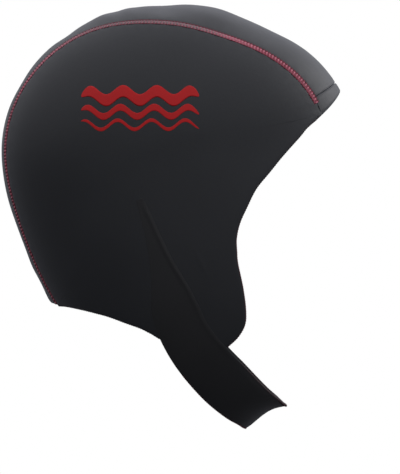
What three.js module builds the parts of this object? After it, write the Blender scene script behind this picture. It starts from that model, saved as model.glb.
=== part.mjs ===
// A neoprene swim cap: a centre crown strip with a folded brow band, two side panels with ear flaps,
// and a chin strap that lies on both flaps and passes under the chin.
// Millimetres. +X is the wearer's front, +Y the wearer's left, +Z up.
// The origin is the inside of the crown at its highest point.
import * as THREE from "three";
import { mergeVertices } from "three/addons/utils/BufferGeometryUtils.js";

// The head form that the cap keeps, measured over the outside of the panels.
// The ear pole is the point of the middle plane that lies between the ears.
const headWidth = 160; // ear to ear
const crownRise = 88; // ear pole up to the top of the crown
const browReach = 112.7; // ear pole forward to the brow edge
const backReach = 95; // ear pole back to the back of the head
const napeReach = 112; // ear pole down to the nape
const chinReach = 168; // ear pole down to the underside of the chin
const earBehind = 9.3; // the ear pole lies this far behind the crown's highest point

// Cloth
const panelWall = 3; // side panels and crown strip
const browWall = 3.8; // the folded hem is thicker than the cloth beside it
const browProud = 0.5; // its outer face stands this far over the crown strip's
const strapWall = 2.4;
const strapSewnWall = 1; // its right end is pressed thin where it is sewn to the flap
const patchWall = 1.2;
const seamGap = 0.3; // between two edges sewn to each other
const layGap = 0.4; // between cloths that lie on each other

// Cut sizes
const crownWidth = 95; // crown strip, seam to seam over the top of the head
const browBandHeight = 6.6; // at the middle plane
const strapWidth = 30;
const chinCup = 4.2; // the strap's middle lies this much closer to the chin than its edges
const patchLength = 34;
const patchWidth = 16;
const patchFromTip = 72; // from the strap's left tip to the patch's middle

// Directions round the ear pole, in degrees: 0 is the face, 90 the crown, 180 the back of the head.
const browToward = 17.8; // brow edge at the middle plane
const browEdgeArch = 5.6; // the brow edge falls by this at the seams
const browSeamArch = 2.6; // and the brow band's upper edge by this
const napeToward = 234.8; // nape hem at the middle plane
const napeArch = 2; // the nape hem falls by this at the seams

// Where the strap drops from the flap to the skin, as shares of chinReach from the ear pole
const strapDropStart = 0.72;
const strapDropEnd = 0.88;

// Where the strap's cup under the chin is whole and where it has gone, as shares of half of headWidth
const cupWhole = 0.1;
const cupGone = 0.6;
const cupForward = 0.35; // the cup gains this share of its depth from the strap's middle to its front edge

// Outline of the head form in the middle plane, a row every 20 degrees: the distance from the ear pole
// is a share of a named size, and fullness is the power of the oval that the form has across the head.
const outlineRows = [
  { toward: 0, size: browReach, share: 1.047, fullness: 2.2 },
  { toward: 20, size: browReach, share: 1.005, fullness: 2.2 },
  { toward: 40, size: browReach, share: 0.913, fullness: 2.2 },
  { toward: 60, size: crownRise, share: 1.054, fullness: 2.2 },
  { toward: 80, size: crownRise, share: 1.013, fullness: 2.2 },
  { toward: 100, size: crownRise, share: 0.991, fullness: 2.2 },
  { toward: 120, size: crownRise, share: 1.002, fullness: 2.2 },
  { toward: 140, size: backReach, share: 0.953, fullness: 2.2 },
  { toward: 160, size: backReach, share: 0.984, fullness: 2.2 },
  { toward: 180, size: backReach, share: 1.001, fullness: 2.2 },
  { toward: 200, size: backReach, share: 1.004, fullness: 2.2 },
  { toward: 220, size: napeReach, share: 0.908, fullness: 2.2 },
  { toward: 240, size: napeReach, share: 1.04, fullness: 2.3 },
  { toward: 260, size: chinReach, share: 0.839, fullness: 2.4 },
  { toward: 280, size: chinReach, share: 1.012, fullness: 2.5 },
  { toward: 300, size: chinReach, share: 1.009, fullness: 2.5 },
  { toward: 320, size: chinReach, share: 0.893, fullness: 2.4 },
  { toward: 340, size: browReach, share: 1.136, fullness: 2.3 },
];

// Half width of the crown strip, as a share of half of crownWidth, in even steps from face to nape
const crownRows = [
  { toward: 0, share: 0.93 },
  { toward: 30, share: 1 },
  { toward: 60, share: 1.01 },
  { toward: 90, share: 0.95 },
  { toward: 120, share: 0.71 },
  { toward: 150, share: 0.54 },
  { toward: 180, share: 0.49 },
  { toward: 210, share: 0.45 },
  { toward: 240, share: 0.44 },
  { toward: 270, share: 0.5 },
  { toward: 300, share: 0.65 },
  { toward: 330, share: 0.8 },
];

// Edges of a side panel: share is of the outline's reach in that direction.
const napeHemRows = [
  { toward: 239, share: 0.942 },
  { toward: 243, share: 0.89 },
  { toward: 248, share: 0.836 },
  { toward: 253, share: 0.791 },
  { toward: 258.5, share: 0.754 },
  { toward: 264, share: 0.722 },
];
const flapEndRows = [
  { toward: 267.5, share: 0.712 },
  { toward: 274, share: 0.713 },
  { toward: 281, share: 0.724 },
  { toward: 285.5, share: 0.722 },
  { toward: 289, share: 0.711 },
];
const faceEdgeRows = [
  { toward: 292.9, share: 0.693 },
  { toward: 296, share: 0.669 },
  { toward: 298.2, share: 0.63 },
  { toward: 300.9, share: 0.567 },
  { toward: 304.2, share: 0.494 },
  { toward: 306.8, share: 0.463 },
  { toward: 311, share: 0.432 },
  { toward: 318, share: 0.42 },
  { toward: 327.9, share: 0.438 },
  { toward: 337, share: 0.47 },
  { toward: 348, share: 0.54 },
  { toward: 357, share: 0.614 },
  { toward: 365, share: 0.711 },
  { toward: 368.5, share: 0.764 },
];

// Middle of the strap from its tapered end on the right flap to the middle plane:
// share is of the outline's reach, and width is a share of strapWidth.
const strapRows = [
  { toward: 248.8, share: 0.252, width: 0.13 },
  { toward: 256.6, share: 0.279, width: 0.2 },
  { toward: 266.2, share: 0.345, width: 0.3 },
  { toward: 271, share: 0.419, width: 0.46 },
  { toward: 273.4, share: 0.479, width: 0.65 },
  { toward: 274.7, share: 0.528, width: 0.82 },
  { toward: 275.6, share: 0.582, width: 0.96 },
  { toward: 277.2, share: 0.641, width: 1 },
  { toward: 279.8, share: 0.702, width: 1.02 },
  { toward: 282.4, share: 0.763, width: 1.1 },
  { toward: 285.6, share: 0.843, width: 1.14 },
  { toward: 288.7, share: 0.924, width: 1.08 },
  { toward: 291, share: 0.978, width: 0.99 },
  { toward: 292, share: 1, width: 0.93 },
];

// Facets
const browSteps = 2; // along the seam, over the brow band
const crownSteps = 44; // along the seam, over the crown strip
const crownColumns = 8; // across the crown strip
const napeHemSteps = 8;
const flapEndSteps = 5;
const faceEdgeSteps = 26;
const panelRings = 8; // from the ear to the panel's edge
const strapStepsPerRow = 3;
const strapColumns = 4;
const patchSteps = 5;
const patchColumns = 2;

const halfWidth = headWidth / 2;
const earPole = new THREE.Vector3(-earBehind, 0, -(crownRise - panelWall));
const radians = THREE.MathUtils.degToRad;
const degrees = THREE.MathUtils.radToDeg;

// A smooth closed curve of one number round the ear pole, through a value at every even step of the turn.
// It is a cubic B-spline whose weights are found by repeated averaging.
function aroundPole(values) {
  const count = values.length;
  const passes = 60;
  const wrap = (i) => (i + count) % count;
  let weights = [...values];
  for (let pass = 0; pass < passes; pass++) {
    weights = values.map((value, i) => (6 * value - weights[wrap(i - 1)] - weights[wrap(i + 1)]) / 4);
  }
  return (toward) => {
    const place = (((toward / 360) % 1) + 1) * count;
    const row = Math.floor(place);
    const f = place - row;
    const blend = [(1 - f) ** 3, 3 * f ** 3 - 6 * f ** 2 + 4, -3 * f ** 3 + 3 * f ** 2 + 3 * f + 1, f ** 3];
    return blend.reduce((sum, part, k) => sum + (part / 6) * weights[(row - 1 + k) % count], 0);
  };
}

const reachAt = aroundPole(outlineRows.map((row) => row.size * row.share));
const fullnessAt = aroundPole(outlineRows.map((row) => row.fullness));
const crownHalfWidthAt = aroundPole(crownRows.map((row) => (row.share * crownWidth) / 2));

// Point of the head form at a share of the reach: side is -1 on the wearer's right and 1 on the left.
function formPoint(toward, share, side) {
  const fullness = fullnessAt(toward);
  const across = halfWidth * Math.max(1 - share ** fullness, 0) ** (1 / fullness);
  const reach = share * reachAt(toward);
  const angle = radians(toward);
  return new THREE.Vector3(reach * Math.cos(angle), side * across, reach * Math.sin(angle)).add(earPole);
}

// Share of the reach at which the form has a given half width
function shareAtHalfWidth(toward, across) {
  const fullness = fullnessAt(toward);
  return (1 - (across / halfWidth) ** fullness) ** (1 / fullness);
}

// 1 on the head form, less inside and more outside
function formLevel(point) {
  const from = point.clone().sub(earPole);
  const toward = degrees(Math.atan2(from.z, from.x));
  const share = Math.hypot(from.x, from.z) / reachAt(toward);
  return share ** fullnessAt(toward) + Math.abs(from.y / halfWidth) ** fullnessAt(toward);
}

function formSlope(point) {
  const step = 0.01;
  const slopeAlong = (x, y, z) => {
    const move = new THREE.Vector3(x, y, z).multiplyScalar(step);
    return (formLevel(point.clone().add(move)) - formLevel(point.clone().sub(move))) / (2 * step);
  };
  return new THREE.Vector3(slopeAlong(1, 0, 0), slopeAlong(0, 1, 0), slopeAlong(0, 0, 1));
}

// The point moved along the form's slope until it lies on the form
function settle(point) {
  const passes = 6;
  const settled = point.clone();
  for (let pass = 0; pass < passes; pass++) {
    const slope = formSlope(settled);
    settled.addScaledVector(slope, (1 - formLevel(settled)) / slope.lengthSq());
  }
  return settled;
}

function lift(point, distance) {
  return point.clone().addScaledVector(formSlope(point).normalize(), distance);
}

// Closed body between an outer and an inner grid of points. Each row of a ringed grid closes on itself,
// and its first row is one point.
function sheetGeometry(outer, inner, ringed = false) {
  const rows = outer.length;
  const columns = outer[0].length;
  const insideStart = rows * columns;
  const faces = [];
  const quad = (a, b, c, d) => faces.push([a, b, c], [a, c, d]);
  const columnPairs = ringed ? columns : columns - 1;
  const at = (row, column) => row * columns + (column % columns);
  for (let row = 0; row < rows - 1; row++) {
    for (let column = 0; column < columnPairs; column++) {
      const corners = [at(row, column), at(row, column + 1), at(row + 1, column + 1), at(row + 1, column)];
      quad(...corners);
      quad(...corners.map((corner) => corner + insideStart).reverse());
    }
  }
  const wall = (a, b) => quad(b, a, a + insideStart, b + insideStart);
  for (let column = 0; column < columnPairs; column++) {
    if (!ringed) wall(at(0, column), at(0, column + 1));
    wall(at(rows - 1, column + 1), at(rows - 1, column));
  }
  for (let row = 0; row < rows - 1 && !ringed; row++) {
    wall(at(row + 1, 0), at(row, 0));
    wall(at(row, columns - 1), at(row + 1, columns - 1));
  }
  const sheet = new THREE.BufferGeometry();
  sheet.setFromPoints([...outer, ...inner].flat());
  sheet.setIndex(faces.flat());
  return outward(mergeVertices(sheet));
}

// The same body without faces that have no area, and with its faces pointing out
function outward(geometry) {
  const index = Array.from(geometry.index.array);
  const faces = [];
  for (let i = 0; i < index.length; i += 3) faces.push(index.slice(i, i + 3));
  const whole = faces.filter(([a, b, c]) => a !== b && b !== c && c !== a);
  const corner = (i) => new THREE.Vector3().fromBufferAttribute(geometry.attributes.position, i);
  const volume = whole.reduce((sum, [a, b, c]) => sum + corner(a).dot(corner(b).cross(corner(c))), 0);
  geometry.setIndex((volume < 0 ? whole.map((face) => face.reverse()) : whole).flat());
  geometry.computeVertexNormals();
  return geometry;
}

// A sheet whose faces lie at two levels over a grid of points of the head form
function layered(grid, innerLevel, outerLevel, ringed) {
  const outer = grid.map((row) => row.map((point) => lift(point, outerLevel)));
  const inner = grid.map((row) => row.map((point) => lift(point, innerLevel)));
  return sheetGeometry(outer, inner, ringed);
}

const evenSteps = (count) => Array.from({ length: count + 1 }, (_, i) => i / count);

// The brow edge, the seam above the brow band and the nape hem, for a place from -1 to 1 across the strip
const browEdgeToward = (across) => browToward - browEdgeArch * across ** 2;
const browSeamMiddle = browToward + degrees(browBandHeight / browReach);
const browSeamToward = (across) => browSeamMiddle - browSeamArch * across ** 2;
const napeHemToward = (across) => napeToward + napeArch * across ** 2;

// A grid of the centre strip between two edges that are given by functions of the place across
function stripGrid(startToward, endToward, steps) {
  const places = evenSteps(crownColumns).map((step) => 2 * step - 1);
  return evenSteps(steps).map((step) =>
    places.map((across) => {
      const toward = THREE.MathUtils.lerp(startToward(across), endToward(across), step);
      const halfStrip = (crownHalfWidthAt(toward) - seamGap / 2) * Math.abs(across);
      return formPoint(toward, shareAtHalfWidth(toward, halfStrip), Math.sign(across));
    }),
  );
}

function browBand() {
  const grid = stripGrid(browEdgeToward, browSeamToward, browSteps);
  return layered(grid, browProud - browWall, browProud);
}

function crownPanel() {
  const gapAngle = degrees(seamGap / browReach);
  const grid = stripGrid((across) => browSeamToward(across) + gapAngle, napeHemToward, crownSteps);
  return layered(grid, -panelWall, 0);
}

// Places of a panel's edge as vectors in the side view, as shares of the reach
const edgePlace = ({ toward, share }) =>
  new THREE.Vector2(Math.cos(radians(toward)), Math.sin(radians(toward))).multiplyScalar(share);

function seamPlace(toward) {
  const halfStrip = crownHalfWidthAt(toward) + seamGap / 2;
  return edgePlace({ toward, share: shareAtHalfWidth(toward, halfStrip) });
}

// The panel's whole edge, once round: up the seam from the brow to the nape, then along the hems
function panelEdge() {
  const browStations = evenSteps(browSteps).map((step) =>
    THREE.MathUtils.lerp(browEdgeToward(1), browSeamToward(1), step),
  );
  const crownStations = evenSteps(crownSteps).map((step) =>
    THREE.MathUtils.lerp(browSeamToward(1), napeHemToward(1), step),
  );
  const seam = [...browStations.slice(0, -1), ...crownStations].map(seamPlace);
  const flapEnd = flapEndRows.map(edgePlace);
  const napeHem = [seam.at(-1), ...napeHemRows.map(edgePlace), flapEnd[0]];
  const faceEdge = [flapEnd.at(-1), ...faceEdgeRows.map(edgePlace), seam[0]];
  const spaced = (places, steps) => new THREE.SplineCurve(places).getSpacedPoints(steps).slice(1);
  return [
    ...seam,
    ...spaced(napeHem, napeHemSteps),
    ...spaced(flapEnd, flapEndSteps),
    ...spaced(faceEdge, faceEdgeSteps).slice(0, -1),
  ];
}

// A side panel is a fan of rings round the ear, closer together where the form turns over.
function sidePanel(side) {
  const turnOver = radians(64);
  const edge = panelEdge();
  const rings = evenSteps(panelRings).map((step) => Math.sin(step * turnOver) / Math.sin(turnOver));
  const grid = rings.map((ring) =>
    edge.map((place) => formPoint(degrees(place.angle()), ring * place.length(), side)),
  );
  return layered(grid, -panelWall, 0, true);
}

// The strap's middle line, from the right flap to the left one
const strapHalf = strapRows.map((row) => formPoint(row.toward, row.share, -1));
const mirrored = (point) => new THREE.Vector3(point.x, -point.y, point.z);
const strapPath = new THREE.CatmullRomCurve3(
  [...strapHalf, ...strapHalf.slice(0, -1).reverse().map(mirrored)],
  false,
  "catmullrom",
  0.5,
);
const widthHalf = strapRows.map((row) => new THREE.Vector2(row.width * strapWidth, 0));
const widthPath = new THREE.SplineCurve([...widthHalf, ...widthHalf.slice(0, -1).reverse()]);

// One row of points across a band that follows the strap's middle line, from its rear to its front edge
function bandRow(along, width, columns) {
  const middle = settle(strapPath.getPoint(along));
  const aside = formSlope(middle).normalize().cross(strapPath.getTangent(along)).normalize();
  return evenSteps(columns).map((step) =>
    settle(middle.clone().addScaledVector(aside, (step - 0.5) * width)),
  );
}

// How far the strap's inner and outer face stand over the form: on the flap, over the patch on the left
// flap, and down on the skin, where the strap is flush with the form and cupped under the chin.
// The cup is deeper towards the strap's front edge.
function strapLevels(point, across) {
  const fromPole = Math.hypot(point.x - earPole.x, point.z - earPole.z) / chinReach;
  const onSkin = THREE.MathUtils.smoothstep(fromPole, strapDropStart, strapDropEnd);
  const isRight = point.y < 0;
  const onFlap = isRight ? layGap : layGap + patchWall + layGap;
  const underChin = 1 - THREE.MathUtils.smoothstep(Math.abs(point.y) / halfWidth, cupWhole, cupGone);
  const cup = chinCup * underChin * (1 - across ** 2) * (1 + cupForward * across);
  const inner = THREE.MathUtils.lerp(onFlap, -strapWall, onSkin) - cup;
  return { inner, outer: inner + THREE.MathUtils.lerp(isRight ? strapSewnWall : strapWall, strapWall, onSkin) };
}

function chinStrap() {
  const steps = (strapPath.points.length - 1) * strapStepsPerRow;
  const grid = evenSteps(steps).map((along) => bandRow(along, widthPath.getPoint(along).x, strapColumns));
  const raised = (face) =>
    grid.map((row) =>
      row.map((point, column) => lift(point, strapLevels(point, (2 * column) / strapColumns - 1)[face])),
    );
  return sheetGeometry(raised("outer"), raised("inner"));
}

// The patch lies under the left end of the strap.
function closurePatch() {
  const start = strapPath.getLength() - patchFromTip - patchLength / 2;
  const grid = evenSteps(patchSteps).map((step) =>
    bandRow(strapPath.getUtoTmapping(0, start + step * patchLength), patchWidth, patchColumns),
  );
  return layered(grid, layGap, layGap + patchWall);
}

const neoprene = (color, roughness) => new THREE.MeshStandardMaterial({ color, roughness, metalness: 0 });
const panelCloth = neoprene(0x222327, 0.62);
const crownCloth = neoprene(0x2b2c31, 0.6);
const strapCloth = neoprene(0x1b1b1e, 0.66);
const hookCloth = neoprene(0x141416, 0.9);

const cap = new THREE.Group();
const addPiece = (name, geometry, material) => {
  const piece = new THREE.Mesh(geometry, material.clone());
  piece.name = name;
  cap.add(piece);
};
addPiece("crown_panel", crownPanel(), crownCloth);
addPiece("brow_band", browBand(), crownCloth);
addPiece("side_panel_right", sidePanel(-1), panelCloth);
addPiece("side_panel_left", sidePanel(1), panelCloth);
addPiece("chin_strap", chinStrap(), strapCloth);
addPiece("closure_patch", closurePatch(), hookCloth);

export default cap;
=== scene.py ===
import bpy
import numpy as np
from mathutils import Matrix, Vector


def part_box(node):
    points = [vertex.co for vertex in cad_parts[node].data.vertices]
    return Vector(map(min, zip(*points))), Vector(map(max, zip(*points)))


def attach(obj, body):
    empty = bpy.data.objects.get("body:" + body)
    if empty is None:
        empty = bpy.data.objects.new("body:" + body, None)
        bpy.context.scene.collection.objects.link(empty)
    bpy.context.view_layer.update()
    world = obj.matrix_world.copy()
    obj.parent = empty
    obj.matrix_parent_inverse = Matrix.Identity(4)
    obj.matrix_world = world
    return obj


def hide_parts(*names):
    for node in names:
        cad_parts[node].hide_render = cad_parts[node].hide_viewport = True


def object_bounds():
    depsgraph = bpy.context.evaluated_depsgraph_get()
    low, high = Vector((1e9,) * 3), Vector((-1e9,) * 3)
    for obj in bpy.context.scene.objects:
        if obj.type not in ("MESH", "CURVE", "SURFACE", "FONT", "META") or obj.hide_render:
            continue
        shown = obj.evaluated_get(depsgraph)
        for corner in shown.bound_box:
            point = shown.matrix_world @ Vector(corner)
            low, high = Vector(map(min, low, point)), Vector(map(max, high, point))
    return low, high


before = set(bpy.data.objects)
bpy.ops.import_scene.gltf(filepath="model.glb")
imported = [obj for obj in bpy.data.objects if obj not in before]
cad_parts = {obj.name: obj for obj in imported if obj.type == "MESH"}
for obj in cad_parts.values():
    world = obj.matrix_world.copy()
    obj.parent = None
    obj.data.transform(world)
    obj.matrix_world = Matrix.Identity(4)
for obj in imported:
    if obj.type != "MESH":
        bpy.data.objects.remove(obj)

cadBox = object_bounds()
print("frame: loaded", sorted(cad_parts))

# A neoprene swim cap, in metres. +X is the wearer's front, +Y the wearer's left, +Z up.

mm = 0.001
right = -1  # the wearer's right side
left = 1


# The head form that the cap keeps, with the sizes of the frame's solids.
# The ear pole is the point of the middle plane between the ears, and "toward" is a direction
# round it in degrees: 0 the face, 90 the crown, 180 the back of the head.
head = {
    "halfWidth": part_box("side_panel_left")[1].y,
    "crownRise": 88 * mm,
    "browReach": 112.7 * mm,
    "backReach": 95 * mm,
    "napeReach": 112 * mm,
    "chinReach": 168 * mm,
    "pole": np.array([-9.3, 0, -85]) * mm,
}

# toward, the size that the reach follows, its share, and the power of the oval across the head
outlineRows = [
    (0, "browReach", 1.047, 2.2),
    (20, "browReach", 1.005, 2.2),
    (40, "browReach", 0.913, 2.2),
    (60, "crownRise", 1.054, 2.2),
    (80, "crownRise", 1.013, 2.2),
    (100, "crownRise", 0.991, 2.2),
    (120, "crownRise", 1.002, 2.2),
    (140, "backReach", 0.953, 2.2),
    (160, "backReach", 0.984, 2.2),
    (180, "backReach", 1.001, 2.2),
    (200, "backReach", 1.004, 2.2),
    (220, "napeReach", 0.908, 2.2),
    (240, "napeReach", 1.04, 2.3),
    (260, "chinReach", 0.839, 2.4),
    (280, "chinReach", 1.012, 2.5),
    (300, "chinReach", 1.009, 2.5),
    (320, "chinReach", 0.893, 2.4),
    (340, "browReach", 1.136, 2.3),
]

# Half width of the crown strip every 30 degrees from the face, as shares of half its cut width
crownShares = [0.93, 1, 1.01, 0.95, 0.71, 0.54, 0.49, 0.45, 0.44, 0.5, 0.65, 0.8]
crownCutWidth = 95 * mm


# Smooth closed curve of one number round the pole, through a value at each even step of the turn:
# a cubic B-spline whose weights come from repeated averaging.
def aroundPole(values, rounds=60):
    values = np.asarray(values, float)
    count = len(values)
    weights = values.copy()
    for _ in range(rounds):
        weights = (6 * values - np.roll(weights, 1) - np.roll(weights, -1)) / 4

    def at(toward):
        place = np.mod(np.asarray(toward, float) / 360, 1) * count
        row = np.floor(place).astype(int)
        f = place - row
        second = 3 * f ** 3 - 6 * f ** 2 + 4
        third = -3 * f ** 3 + 3 * f ** 2 + 3 * f + 1
        blend = [(1 - f) ** 3, second, third, f ** 3]
        return sum(part / 6 * weights[(row - 1 + k) % count] for k, part in enumerate(blend))

    return at


reachAt = aroundPole([head[size] * share for _, size, share, _ in outlineRows])
fullnessAt = aroundPole([fullness for _, _, _, fullness in outlineRows])
crownHalfAt = aroundPole([share * crownCutWidth / 2 for share in crownShares])


# Point of the form: the share of the reach in the middle plane, and across it the oval
# (1 - share ^ fullness) ^ (1 / fullness) of the half width.
def formPoint(toward, share, side):
    toward, share, side = np.broadcast_arrays(toward, share, side)
    fullness = fullnessAt(toward)
    across = head["halfWidth"] * np.maximum(1 - share ** fullness, 0) ** (1 / fullness)
    reach = share * reachAt(toward)
    angle = np.radians(toward)
    offset = np.stack([reach * np.cos(angle), side * across, reach * np.sin(angle)], -1)
    return head["pole"] + offset


# Share of the reach at which the form has a given half width
def shareAtHalfWidth(toward, across):
    fullness = fullnessAt(toward)
    return (1 - (np.abs(across) / head["halfWidth"]) ** fullness) ** (1 / fullness)


# Direction of points round the ear pole, from 0 to 360
def towardOf(points):
    away = points - head["pole"]
    return np.mod(np.degrees(np.arctan2(away[..., 2], away[..., 0])), 360)


# 1 on the form, less inside and more outside: share ^ fullness + (y / half width) ^ fullness
def formLevel(points):
    away = points - head["pole"]
    toward = towardOf(points)
    share = np.hypot(away[..., 0], away[..., 2]) / reachAt(toward)
    fullness = fullnessAt(toward)
    return share ** fullness + np.abs(away[..., 1] / head["halfWidth"]) ** fullness


# Slope of the level along x, y and z, by central differences
def formSlope(points):
    step = 0.01 * mm
    moves = np.eye(3) * step
    slopes = [(formLevel(points + move) - formLevel(points - move)) / (2 * step) for move in moves]
    return np.stack(slopes, -1)


def unit(vectors, least=1e-12):
    return vectors / np.maximum(np.linalg.norm(vectors, axis=-1, keepdims=True), least)


def formNormal(points):
    return unit(formSlope(points))


# Points moved along the slope, in a few rounds, until their level is 1
def settle(points, rounds=6):
    for _ in range(rounds):
        slope = formSlope(points)
        miss = (1 - formLevel(points)) / (slope ** 2).sum(-1)
        points = points + slope * miss[..., None]
    return points


# Catmull-Rom curve through rows of numbers, at places from 0 to 1, with its ends reflected
def throughRows(rows, places):
    rows = np.asarray(rows, float)
    rows = np.concatenate([[2 * rows[0] - rows[1]], rows, [2 * rows[-1] - rows[-2]]])
    spans = len(rows) - 3
    place = np.clip(np.asarray(places, float), 0, 1) * spans
    row = np.minimum(np.floor(place).astype(int), spans - 1)
    f = (place - row).reshape(place.shape + (1,) * (rows.ndim - 1))
    a, b, c, d = (rows[row + k] for k in range(4))
    squared = 2 * a - 5 * b + 4 * c - d
    cubed = 3 * (b - c) + d - a
    return b + f / 2 * (c - a) + f ** 2 / 2 * squared + f ** 3 / 2 * cubed


# Running length along a row of points, or down each column of a grid of them, from 0
def lengthAlong(points):
    steps = np.linalg.norm(np.diff(points, axis=0), axis=-1)
    return np.concatenate([np.zeros_like(steps[:1]), np.cumsum(steps, axis=0)])


# Rows of values read off at other places of the running length
def readAlong(wanted, length, values):
    values = np.asarray(values, float)
    columns = values.reshape(len(values), -1).T
    return np.stack([np.interp(wanted, length, column) for column in columns], -1)


# The same curve at even distances
def evenly(points, count):
    length = lengthAlong(points)
    return readAlong(np.linspace(0, length[-1], count), length, points)


# 0 at the start of a stretch, 1 at its end, with level ends
def easeBetween(value, start, end):
    t = np.clip((value - start) / (end - start), 0, 1)
    return t * t * (3 - 2 * t)


# A hill of height 1 round 0
def hill(distance, width):
    return np.exp(-((distance / width) ** 2))


# Meshes


# A piece from points and four-cornered faces, whose doubled corners are dropped. Points that no
# face uses are left out, and the faces are turned if the signed volume is below 0.
def makePiece(name, points, quads, values):
    points = np.asarray(points, float).reshape(-1, 3)
    quads = np.asarray(quads).reshape(-1, 4)
    a, b, c, d = (points[quads[:, k]] for k in range(4))
    volume = (a * np.cross(b, c)).sum() + (a * np.cross(c, d)).sum()
    if volume < 0:
        quads = quads[:, ::-1]
    used, quads = np.unique(quads, return_inverse=True)
    quads = quads.reshape(-1, 4)
    keep = quads != np.roll(quads, -1, axis=1)
    corners = quads[keep]
    counts = keep.sum(1)
    mesh = bpy.data.meshes.new(name)
    mesh.vertices.add(len(used))
    mesh.vertices.foreach_set("co", points[used].ravel().astype(np.float32))
    mesh.loops.add(len(corners))
    mesh.loops.foreach_set("vertex_index", corners.astype(np.int32))
    mesh.polygons.add(len(counts))
    starts = np.concatenate([[0], np.cumsum(counts)[:-1]])
    mesh.polygons.foreach_set("loop_start", starts.astype(np.int32))
    mesh.polygons.foreach_set("use_smooth", np.ones(len(counts), bool))
    mesh.update(calc_edges=True)
    for key, value in values.items():
        value = np.asarray(value, float)
        if key == "cloth":
            layer = mesh.uv_layers.new(name=key)
            flat = value.reshape(-1, 2)[used][corners]
            layer.data.foreach_set("uv", flat.ravel().astype(np.float32))
        else:
            layer = mesh.attributes.new(key, "FLOAT", "POINT")
            layer.data.foreach_set("value", value.ravel()[used].astype(np.float32))
    mesh.validate()
    piece = bpy.data.objects.new(name, mesh)
    bpy.context.scene.collection.objects.link(piece)
    return piece


# Faces between neighbours in a grid of point numbers, whose last two axes are the grid
def gridQuads(ids, ringed):
    if ringed:
        ids = np.concatenate([ids, ids[..., :1]], -1)
    corners = [ids[..., :-1, :-1], ids[..., :-1, 1:], ids[..., 1:, 1:], ids[..., 1:, :-1]]
    return np.stack(corners, -1).reshape(-1, 4)


def gridBorder(rows, columns):
    border = np.ones((rows, columns), bool)
    border[1:-1, 1:-1] = False
    return border


# Faces of an outer and an inner layer over one grid, which share its border. A ringed grid closes
# on itself along its rows, its first row is one point, and its last row is the border.
def layeredQuads(rows, columns, ringed=False):
    outerIds = np.arange(rows * columns).reshape(rows, columns)
    innerIds = outerIds + rows * columns
    if ringed:
        outerIds[0] = outerIds[0, 0]
        innerIds[0] = innerIds[0, 0]
        innerIds[-1] = outerIds[-1]
    else:
        border = gridBorder(rows, columns)
        innerIds[border] = outerIds[border]
    return np.concatenate([gridQuads(outerIds, ringed), gridQuads(innerIds, ringed)[:, ::-1]])


# Cloth over a grid of points of the form: its outer and inner face lie at two levels along the
# form's normal, which are equal at the grid's border.
def clothSheet(name, grid, levels, cloth, ringed=False):
    rows, columns = grid.shape[:2]
    outerLevel, innerLevel, cut = levels
    normal = formNormal(grid)
    outer = grid + normal * outerLevel[..., None]
    inner = grid + normal * innerLevel[..., None]
    quads = layeredQuads(rows, columns, ringed)
    values = {
        "cloth": np.stack([cloth, cloth]),
        "inside": np.stack([np.zeros((rows, columns)), np.ones((rows, columns))]),
        "cut": np.stack([cut, cut]),
    }
    return makePiece(name, np.stack([outer, inner]), quads, values)


# Closed tubes of flat oval section along many paths at once: the section turns with the path's
# up direction, and its size falls to 0 at both ends.
def threadTubes(centres, ups, halfWidth, halfHeight, sides):
    paths, steps = centres.shape[:2]
    tangent = unit(np.gradient(centres, axis=1))
    aside = unit(np.cross(ups, tangent))
    up = np.cross(tangent, aside)
    turn = 2 * np.pi * np.arange(sides) / sides
    full = np.ones(steps)
    full[0] = full[-1] = 0
    across = (full * halfWidth)[:, None] * np.cos(turn)
    over = (full * halfHeight)[:, None] * np.sin(turn)
    offsets = aside[:, :, None] * across[..., None] + up[:, :, None] * over[..., None]
    points = centres[:, :, None] + offsets
    ids = np.arange(paths * steps * sides).reshape(paths, steps, sides)
    ids[:, 0] = ids[:, 0, :1]
    ids[:, -1] = ids[:, -1, :1]
    return points.reshape(-1, 3), gridQuads(ids, True)


# Several sets of tubes as one piece. Each set gives its paths, their up directions, the tubes' half
# width and half height, the sides of their section, and the tone of the thread.
def threadPiece(name, sets):
    points = []
    quads = []
    shade = []
    count = 0
    for centres, ups, halfWidth, halfHeight, sides, tone in sets:
        tube, faces = threadTubes(centres, ups, halfWidth, halfHeight, sides)
        points.append(tube)
        quads.append(faces + count)
        tones = np.broadcast_to(np.asarray(tone)[..., None], centres.shape[:2] + (sides,))
        shade.append(tones.ravel())
        count += len(tube)
    values = {"tone": np.concatenate(shade)}
    return makePiece(name, np.concatenate(points), np.concatenate(quads), values)


# Materials


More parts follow.
